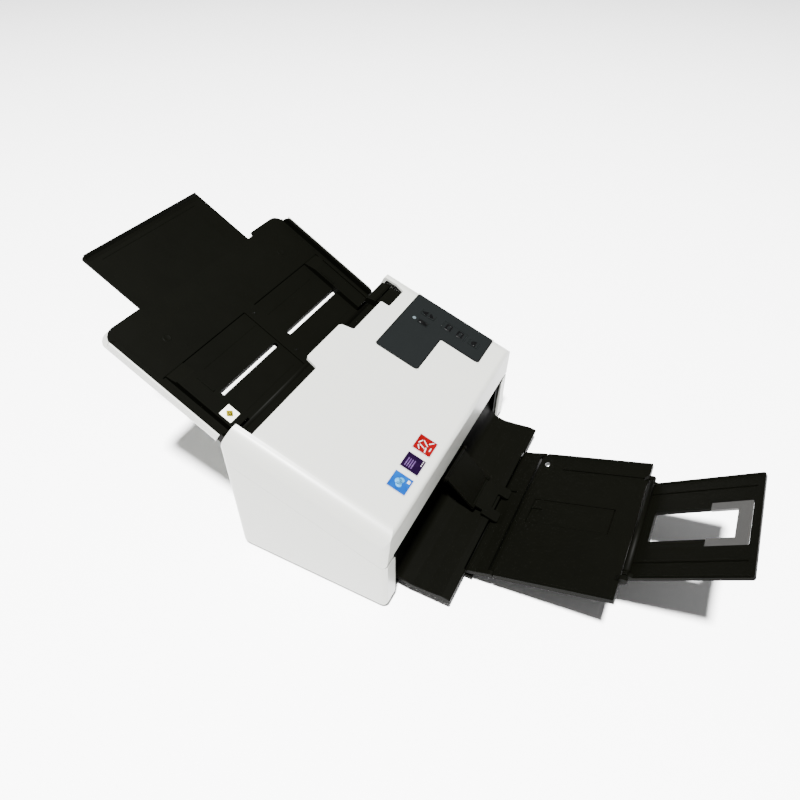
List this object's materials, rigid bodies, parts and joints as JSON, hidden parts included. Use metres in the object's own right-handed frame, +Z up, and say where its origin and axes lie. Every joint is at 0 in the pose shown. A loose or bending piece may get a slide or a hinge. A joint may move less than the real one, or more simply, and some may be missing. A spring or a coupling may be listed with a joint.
{
  "type": "sheet fed document scanner",
  "caption": "Desktop document scanner: white two-part body, black folding input tray with sliding guides and extension, folding output trays and exit flap.",
  "frame": {"origin": "centre of the bounding box on the floor plane, trays open", "axes": "+Z up, +X to the right seen from the front, the front and its output trays towards -Y"},
  "size_m": [0.316, 0.664, 0.2506],
  "materials": {
    "shell_white": "fine satin texture",
    "black_plastic": "fine spark-eroded texture",
    "slate_plastic": "satin",
    "grey_plastic": "satin",
    "gear_plastic": "semi matt acetal",
    "steel_sheet": "zinc plated",
    "roller_rubber": "matt",
    "foot_rubber": "matt",
    "dark_glass": "polished",
    "lamp": "polished",
    "circuit_board": "solder mask",
    "label_red": "printed label",
    "label_purple": "printed label",
    "label_blue": "printed label",
    "label_white": "printed label"
  },
  "bodies": {
    "base": {"base_plate": "black_plastic", "foot_front_left": "foot_rubber", "foot_rear_left": "foot_rubber", "foot_front_right": "foot_rubber", "foot_rear_right": "foot_rubber", "lower_housing": "shell_white", "side_frame_left": "steel_sheet", "side_frame_right": "steel_sheet", "lower_paper_guide": "black_plastic", "output_chute": "black_plastic", "drive_motor": "steel_sheet", "main_board": "circuit_board", "power_inlet": "black_plastic", "usb_port": "steel_sheet", "lower_sensor": "black_plastic", "drive_belt": "roller_rubber", "tray_root": "black_plastic", "output_hinge_rod": "steel_sheet"},
    "feed_axle": {"feed_roller": "roller_rubber", "feed_gear": "gear_plastic"},
    "transport_axle": {"transport_roller": "roller_rubber", "transport_gear": "gear_plastic", "transport_pulley": "gear_plastic"},
    "exit_axle": {"exit_roller": "roller_rubber", "exit_gear": "gear_plastic"},
    "idler_1": {"idler_gear_1": "gear_plastic"},
    "idler_2": {"idler_gear_2": "gear_plastic"},
    "idler_3": {"idler_gear_3": "gear_plastic"},
    "idler_4": {"idler_gear_4": "gear_plastic"},
    "motor_rotor": {"motor_pulley": "gear_plastic"},
    "cover": {"upper_cover": "shell_white", "upper_paper_guide": "black_plastic", "control_panel": "slate_plastic", "display_window": "dark_glass", "status_lamp": "lamp", "label_red": "label_red", "label_purple": "label_purple", "label_blue": "label_blue", "upper_sensor": "black_plastic"},
    "key_up": {"button_up": "slate_plastic"},
    "key_down": {"button_down": "slate_plastic"},
    "key_function": {"button_function": "slate_plastic"},
    "key_scan": {"button_scan": "slate_plastic"},
    "release": {"cover_release": "black_plastic"},
    "retard": {"separation_roller": "roller_rubber"},
    "pinch_upper": {"upper_pinch_roller": "roller_rubber"},
    "pinch_exit": {"exit_pinch_roller": "roller_rubber"},
    "input_tray": {"tray_deck": "black_plastic", "tray_shell": "shell_white"},
    "extension": {"tray_extension": "black_plastic"},
    "guide_right": {"paper_guide_right": "black_plastic"},
    "guide_left": {"paper_guide_left": "black_plastic", "guide_label": "label_white"},
    "pinion": {"guide_pinion": "gear_plastic"},
    "tray_1": {"output_tray_1": "black_plastic"},
    "tray_2": {"output_tray_2": "black_plastic"},
    "stop_1": {"tray_stopper_1": "black_plastic"},
    "stop_2": {"tray_stopper_2": "grey_plastic"},
    "flap": {"exit_flap": "black_plastic"},
    "flap_end": {"flap_tip": "black_plastic"}
  },
  "joints": [
    {"name": "transport_spin", "type": "hinge", "parent": "base", "child": "transport_axle", "pos_m": [0, 0.05243, 0.09029], "axis": [1, 0, 0], "continuous": true},
    {"name": "feed_spin", "type": "hinge", "parent": "base", "child": "feed_axle", "pos_m": [0, 0.08045, 0.09517], "axis": [1, 0, 0], "continuous": true},
    {"name": "exit_spin", "type": "hinge", "parent": "base", "child": "exit_axle", "pos_m": [0, -0.0171, 0.06498], "axis": [1, 0, 0], "continuous": true},
    {"name": "idler_1_spin", "type": "hinge", "parent": "base", "child": "idler_1", "pos_m": [0, 0.06644, 0.09273], "axis": [1, 0, 0], "continuous": true},
    {"name": "idler_2_spin", "type": "hinge", "parent": "base", "child": "idler_2", "pos_m": [0, 0.03511, 0.08399], "axis": [1, 0, 0], "continuous": true},
    {"name": "idler_3_spin", "type": "hinge", "parent": "base", "child": "idler_3", "pos_m": [0, 0.01766, 0.07764], "axis": [1, 0, 0], "continuous": true},
    {"name": "idler_4_spin", "type": "hinge", "parent": "base", "child": "idler_4", "pos_m": [0, 0.00022, 0.07129], "axis": [1, 0, 0], "continuous": true},
    {"name": "motor_spin", "type": "hinge", "parent": "base", "child": "motor_rotor", "pos_m": [0, 0.02455, 0.036], "axis": [1, 0, 0], "continuous": true},
    {"name": "cover_hinge", "type": "hinge", "parent": "base", "child": "cover", "pos_m": [0, -0.04345, 0.07149], "axis": [1, 0, 0], "range_deg": [0, 60]},
    {"name": "up_press", "type": "slide", "parent": "cover", "child": "key_up", "axis": [0, 0.342, -0.9397], "range_m": [0, 0.0007], "stiffness_N_per_m": 500},
    {"name": "down_press", "type": "slide", "parent": "cover", "child": "key_down", "axis": [0, 0.342, -0.9397], "range_m": [0, 0.0007], "stiffness_N_per_m": 500},
    {"name": "function_press", "type": "slide", "parent": "cover", "child": "key_function", "axis": [0, 0.342, -0.9397], "range_m": [0, 0.0007], "stiffness_N_per_m": 500},
    {"name": "scan_press", "type": "slide", "parent": "cover", "child": "key_scan", "axis": [0, 0.342, -0.9397], "range_m": [0, 0.0007], "stiffness_N_per_m": 500},
    {"name": "release_press", "type": "slide", "parent": "cover", "child": "release", "axis": [0, 0.342, -0.9397], "range_m": [0, 0.0012], "stiffness_N_per_m": 400},
    {"name": "retard_spin", "type": "hinge", "parent": "cover", "child": "retard", "pos_m": [0, 0.07279, 0.11622], "axis": [1, 0, 0], "continuous": true},
    {"name": "upper_pinch_spin", "type": "hinge", "parent": "cover", "child": "pinch_upper", "pos_m": [0, 0.04819, 0.10194], "axis": [1, 0, 0], "continuous": true},
    {"name": "exit_pinch_spin", "type": "hinge", "parent": "cover", "child": "pinch_exit", "pos_m": [0, -0.02135, 0.07663], "axis": [1, 0, 0], "continuous": true},
    {"name": "input_tray_fold", "type": "hinge", "parent": "base", "child": "input_tray", "pos_m": [0, 0.11855, 0.118], "axis": [1, 0, 0], "range_deg": [0, 32]},
    {"name": "extension_slide", "type": "slide", "parent": "input_tray", "child": "extension", "axis": [0, -0.8526, -0.5225], "range_m": [0, 0.075]},
    {"name": "right_guide_slide", "type": "slide", "parent": "input_tray", "child": "guide_right", "axis": [-1, 0, 0], "range_m": [0, 0.08]},
    {"name": "left_guide_slide", "type": "slide", "parent": "input_tray", "child": "guide_left", "axis": [1, 0, 0], "range_m": [0, 0.08]},
    {"name": "pinion_turn", "type": "hinge", "parent": "input_tray", "child": "pinion", "pos_m": [0, 0.16388, 0.1493], "axis": [0, -0.5225, 0.8526], "range_deg": [0, 800]},
    {"name": "tray_1_fold", "type": "hinge", "parent": "base", "child": "tray_1", "pos_m": [0, -0.12795, 0.02185], "axis": [-1, 0, 0], "range_deg": [0, 70]},
    {"name": "tray_2_fold", "type": "hinge", "parent": "tray_1", "child": "tray_2", "pos_m": [0, -0.24254, 0.06526], "axis": [-1, 0, 0], "range_deg": [0, 160]},
    {"name": "stop_1_flip", "type": "hinge", "parent": "tray_1", "child": "stop_1", "pos_m": [0, -0.21602, 0.05386], "axis": [-1, 0, 0], "range_deg": [-88, 0]},
    {"name": "stop_2_flip", "type": "hinge", "parent": "tray_2", "child": "stop_2", "pos_m": [0, -0.3235, 0.1194], "axis": [-1, 0, 0], "range_deg": [-80, 0]},
    {"name": "flap_lift", "type": "hinge", "parent": "base", "child": "flap", "pos_m": [0, -0.04795, 0.0565], "axis": [-1, 0, 0], "range_deg": [0, 8]},
    {"name": "tip_bend", "type": "hinge", "parent": "flap", "child": "flap_end", "pos_m": [0, -0.081, 0.02567], "axis": [-1, 0, 0], "range_deg": [0, 8]}
  ],
  "couplings": [
    {"joint": "feed_spin", "follows": "transport_spin", "ratio": 1},
    {"joint": "exit_spin", "follows": "transport_spin", "ratio": 1},
    {"joint": "idler_1_spin", "follows": "transport_spin", "ratio": -1.8287},
    {"joint": "idler_2_spin", "follows": "transport_spin", "ratio": -0.9854},
    {"joint": "idler_3_spin", "follows": "transport_spin", "ratio": 0.9854},
    {"joint": "idler_4_spin", "follows": "transport_spin", "ratio": -0.9854},
    {"joint": "motor_spin", "follows": "transport_spin", "ratio": 1.8182},
    {"joint": "left_guide_slide", "follows": "right_guide_slide", "ratio": 1},
    {"joint": "pinion_turn", "follows": "right_guide_slide", "rad_per_m": 166.67}
  ]
}
